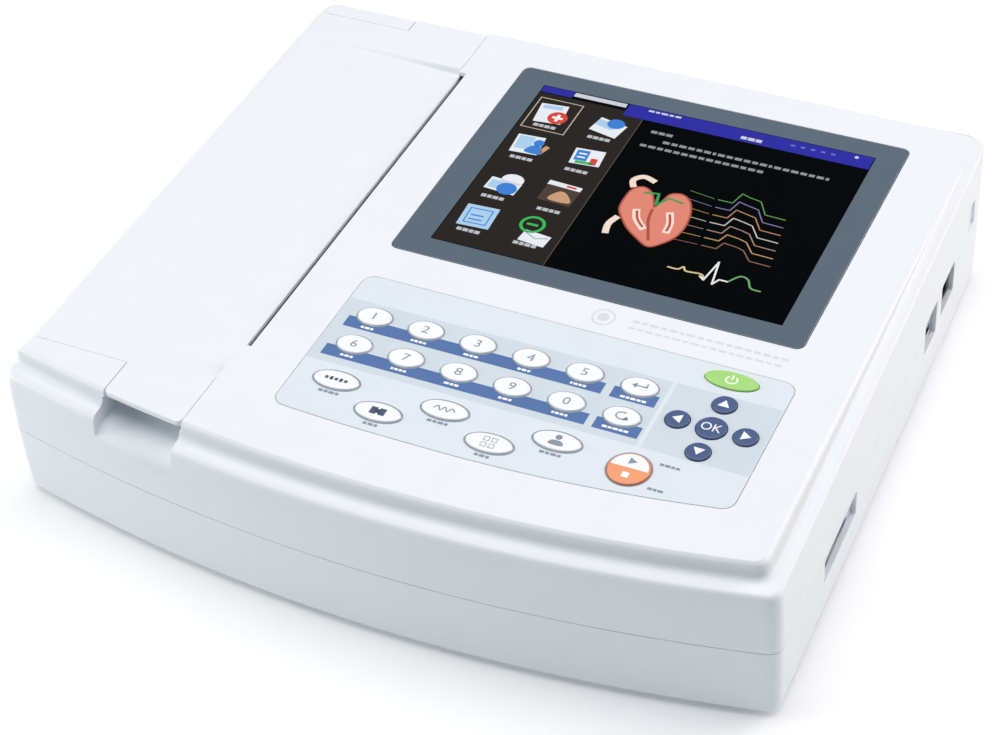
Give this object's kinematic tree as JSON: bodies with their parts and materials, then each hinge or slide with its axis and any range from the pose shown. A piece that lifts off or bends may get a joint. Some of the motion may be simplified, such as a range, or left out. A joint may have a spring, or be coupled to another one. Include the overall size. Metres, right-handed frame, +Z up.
{
  "type": "desktop ecg machine",
  "caption": "Desktop ECG machine: two-part casing, colour display, digit and function keypad, hinged printer lid over a chart paper roll, side and rear sockets.",
  "frame": {"origin": "on the table, under the middle of the machine", "axes": "+X to the machine's right, +Y to its back, +Z up"},
  "size_m": [0.364, 0.326, 0.0809],
  "materials": {
    "casing_white": "fine moulded texture",
    "bezel_grey": "polished",
    "screen_black": "smooth",
    "overlay_grey": "satin film",
    "key_white": "satin",
    "key_blue": "satin",
    "key_green": "satin",
    "key_orange": "satin",
    "board_green": "solder mask",
    "steel": "brushed",
    "aluminium": "satin",
    "black_plastic": "moulded",
    "rubber_black": "matt",
    "gear_white": "moulded",
    "paper_white": "matt",
    "battery_blue": "shrink film",
    "brass": "turned"
  },
  "bodies": {
    "base": {"bottom_casing": "casing_white", "top_casing": "casing_white", "battery_door": "casing_white", "lid_hinge_pin": "steel", "screen_window": "bezel_grey", "lcd_module": "screen_black", "keypad_overlay": "overlay_grey", "keypad_board": "board_green", "main_board": "board_green", "ecg_board": "board_green", "lead_socket": "steel", "power_supply": "aluminium", "battery_pack": "battery_blue", "speaker": "black_plastic", "mains_inlet": "black_plastic", "earth_stud": "brass", "paper_tray": "black_plastic", "feed_motor": "steel", "printer_frame": "steel", "head_pin": "steel", "head_spring": "steel", "foot_front_left": "rubber_black", "foot_front_right": "rubber_black", "foot_back_left": "rubber_black", "foot_back_right": "rubber_black"},
    "lid": {"printer_lid": "casing_white"},
    "platen": {"platen_roller": "rubber_black", "platen_shaft": "steel", "platen_gear": "gear_white"},
    "idler": {"idler_gear": "gear_white"},
    "pinion": {"motor_pinion": "brass"},
    "paper": {"paper_roll": "paper_white", "paper_spindle": "black_plastic"},
    "head": {"print_head": "aluminium"},
    "rocker": {"power_rocker": "black_plastic"},
    "key_1": {"key_1": "key_white"},
    "key_2": {"key_2": "key_white"},
    "key_3": {"key_3": "key_white"},
    "key_4": {"key_4": "key_white"},
    "key_5": {"key_5": "key_white"},
    "key_6": {"key_6": "key_white"},
    "key_7": {"key_7": "key_white"},
    "key_8": {"key_8": "key_white"},
    "key_9": {"key_9": "key_white"},
    "key_0": {"key_0": "key_white"},
    "key_enter": {"key_enter": "key_white"},
    "key_shift": {"key_shift": "key_white"},
    "key_sensitivity": {"key_sensitivity": "key_white"},
    "key_speed": {"key_speed": "key_white"},
    "key_filter": {"key_filter": "key_white"},
    "key_mode": {"key_mode": "key_white"},
    "key_patient": {"key_patient": "key_white"},
    "key_up": {"key_up": "key_blue"},
    "key_down": {"key_down": "key_blue"},
    "key_left": {"key_left": "key_blue"},
    "key_right": {"key_right": "key_blue"},
    "key_ok": {"key_ok": "key_blue"},
    "key_start_stop": {"key_start_stop": "key_orange"},
    "key_power": {"key_power": "key_green"}
  },
  "joints": [
    {"name": "lid_hinge", "type": "hinge", "parent": "base", "child": "lid", "pos_m": [-0.173, 0, 0.071], "axis": [0, -1, 0], "range_deg": [0, 100]},
    {"name": "paper_spin", "type": "hinge", "parent": "base", "child": "paper", "pos_m": [-0.1305, 0, 0.044], "axis": [0, -1, 0], "continuous": true},
    {"name": "platen_spin", "type": "hinge", "parent": "lid", "child": "platen", "pos_m": [-0.092, 0, 0.0665], "axis": [0, -1, 0], "continuous": true},
    {"name": "idler_spin", "type": "hinge", "parent": "base", "child": "idler", "pos_m": [-0.08395, 0, 0.05256], "axis": [0, -1, 0], "continuous": true},
    {"name": "pinion_spin", "type": "hinge", "parent": "base", "child": "pinion", "pos_m": [-0.0746, 0, 0.04148], "axis": [0, -1, 0], "continuous": true},
    {"name": "head_pivot", "type": "hinge", "parent": "base", "child": "head", "pos_m": [-0.081, 0, 0.046], "axis": [0, 1, 0], "range_deg": [0, 4], "stiffness_Nm_per_rad": 5, "deforming": ["head_spring"]},
    {"name": "rocker_tip", "type": "hinge", "parent": "base", "child": "rocker", "pos_m": [0.014, 0.156, 0.0265], "axis": [1, 0, 0], "range_deg": [-16, 0]},
    {"name": "key_1_press", "type": "slide", "parent": "base", "child": "key_1", "axis": [0, 0, -1], "range_m": [0, 0.0008], "stiffness_N_per_m": 1500},
    {"name": "key_2_press", "type": "slide", "parent": "base", "child": "key_2", "axis": [0, 0, -1], "range_m": [0, 0.0008], "stiffness_N_per_m": 1500},
    {"name": "key_3_press", "type": "slide", "parent": "base", "child": "key_3", "axis": [0, 0, -1], "range_m": [0, 0.0008], "stiffness_N_per_m": 1500},
    {"name": "key_4_press", "type": "slide", "parent": "base", "child": "key_4", "axis": [0, 0, -1], "range_m": [0, 0.0008], "stiffness_N_per_m": 1500},
    {"name": "key_5_press", "type": "slide", "parent": "base", "child": "key_5", "axis": [0, 0, -1], "range_m": [0, 0.0008], "stiffness_N_per_m": 1500},
    {"name": "key_6_press", "type": "slide", "parent": "base", "child": "key_6", "axis": [0, 0, -1], "range_m": [0, 0.0008], "stiffness_N_per_m": 1500},
    {"name": "key_7_press", "type": "slide", "parent": "base", "child": "key_7", "axis": [0, 0, -1], "range_m": [0, 0.0008], "stiffness_N_per_m": 1500},
    {"name": "key_8_press", "type": "slide", "parent": "base", "child": "key_8", "axis": [0, 0, -1], "range_m": [0, 0.0008], "stiffness_N_per_m": 1500},
    {"name": "key_9_press", "type": "slide", "parent": "base", "child": "key_9", "axis": [0, 0, -1], "range_m": [0, 0.0008], "stiffness_N_per_m": 1500},
    {"name": "key_0_press", "type": "slide", "parent": "base", "child": "key_0", "axis": [0, 0, -1], "range_m": [0, 0.0008], "stiffness_N_per_m": 1500},
    {"name": "key_enter_press", "type": "slide", "parent": "base", "child": "key_enter", "axis": [0, 0, -1], "range_m": [0, 0.0008], "stiffness_N_per_m": 1500},
    {"name": "key_shift_press", "type": "slide", "parent": "base", "child": "key_shift", "axis": [0, 0, -1], "range_m": [0, 0.0008], "stiffness_N_per_m": 1500},
    {"name": "key_sensitivity_press", "type": "slide", "parent": "base", "child": "key_sensitivity", "axis": [0, 0, -1], "range_m": [0, 0.0008], "stiffness_N_per_m": 1500},
    {"name": "key_speed_press", "type": "slide", "parent": "base", "child": "key_speed", "axis": [0, 0, -1], "range_m": [0, 0.0008], "stiffness_N_per_m": 1500},
    {"name": "key_filter_press", "type": "slide", "parent": "base", "child": "key_filter", "axis": [0, 0, -1], "range_m": [0, 0.0008], "stiffness_N_per_m": 1500},
    {"name": "key_mode_press", "type": "slide", "parent": "base", "child": "key_mode", "axis": [0, 0, -1], "range_m": [0, 0.0008], "stiffness_N_per_m": 1500},
    {"name": "key_patient_press", "type": "slide", "parent": "base", "child": "key_patient", "axis": [0, 0, -1], "range_m": [0, 0.0008], "stiffness_N_per_m": 1500},
    {"name": "key_up_press", "type": "slide", "parent": "base", "child": "key_up", "axis": [0, 0, -1], "range_m": [0, 0.0008], "stiffness_N_per_m": 1500},
    {"name": "key_down_press", "type": "slide", "parent": "base", "child": "key_down", "axis": [0, 0, -1], "range_m": [0, 0.0008], "stiffness_N_per_m": 1500},
    {"name": "key_left_press", "type": "slide", "parent": "base", "child": "key_left", "axis": [0, 0, -1], "range_m": [0, 0.0008], "stiffness_N_per_m": 1500},
    {"name": "key_right_press", "type": "slide", "parent": "base", "child": "key_right", "axis": [0, 0, -1], "range_m": [0, 0.0008], "stiffness_N_per_m": 1500},
    {"name": "key_ok_press", "type": "slide", "parent": "base", "child": "key_ok", "axis": [0, 0, -1], "range_m": [0, 0.0008], "stiffness_N_per_m": 1500},
    {"name": "key_start_stop_press", "type": "slide", "parent": "base", "child": "key_start_stop", "axis": [0, 0, -1], "range_m": [0, 0.0008], "stiffness_N_per_m": 1500},
    {"name": "key_power_press", "type": "slide", "parent": "base", "child": "key_power", "axis": [0, 0, -1], "range_m": [0, 0.0008], "stiffness_N_per_m": 1500}
  ],
  "couplings": [
    {"joint": "platen_spin", "follows": "paper_spin", "ratio": 4},
    {"joint": "idler_spin", "follows": "paper_spin", "ratio": -2.6667},
    {"joint": "pinion_spin", "follows": "paper_spin", "ratio": 5.3333}
  ]
}
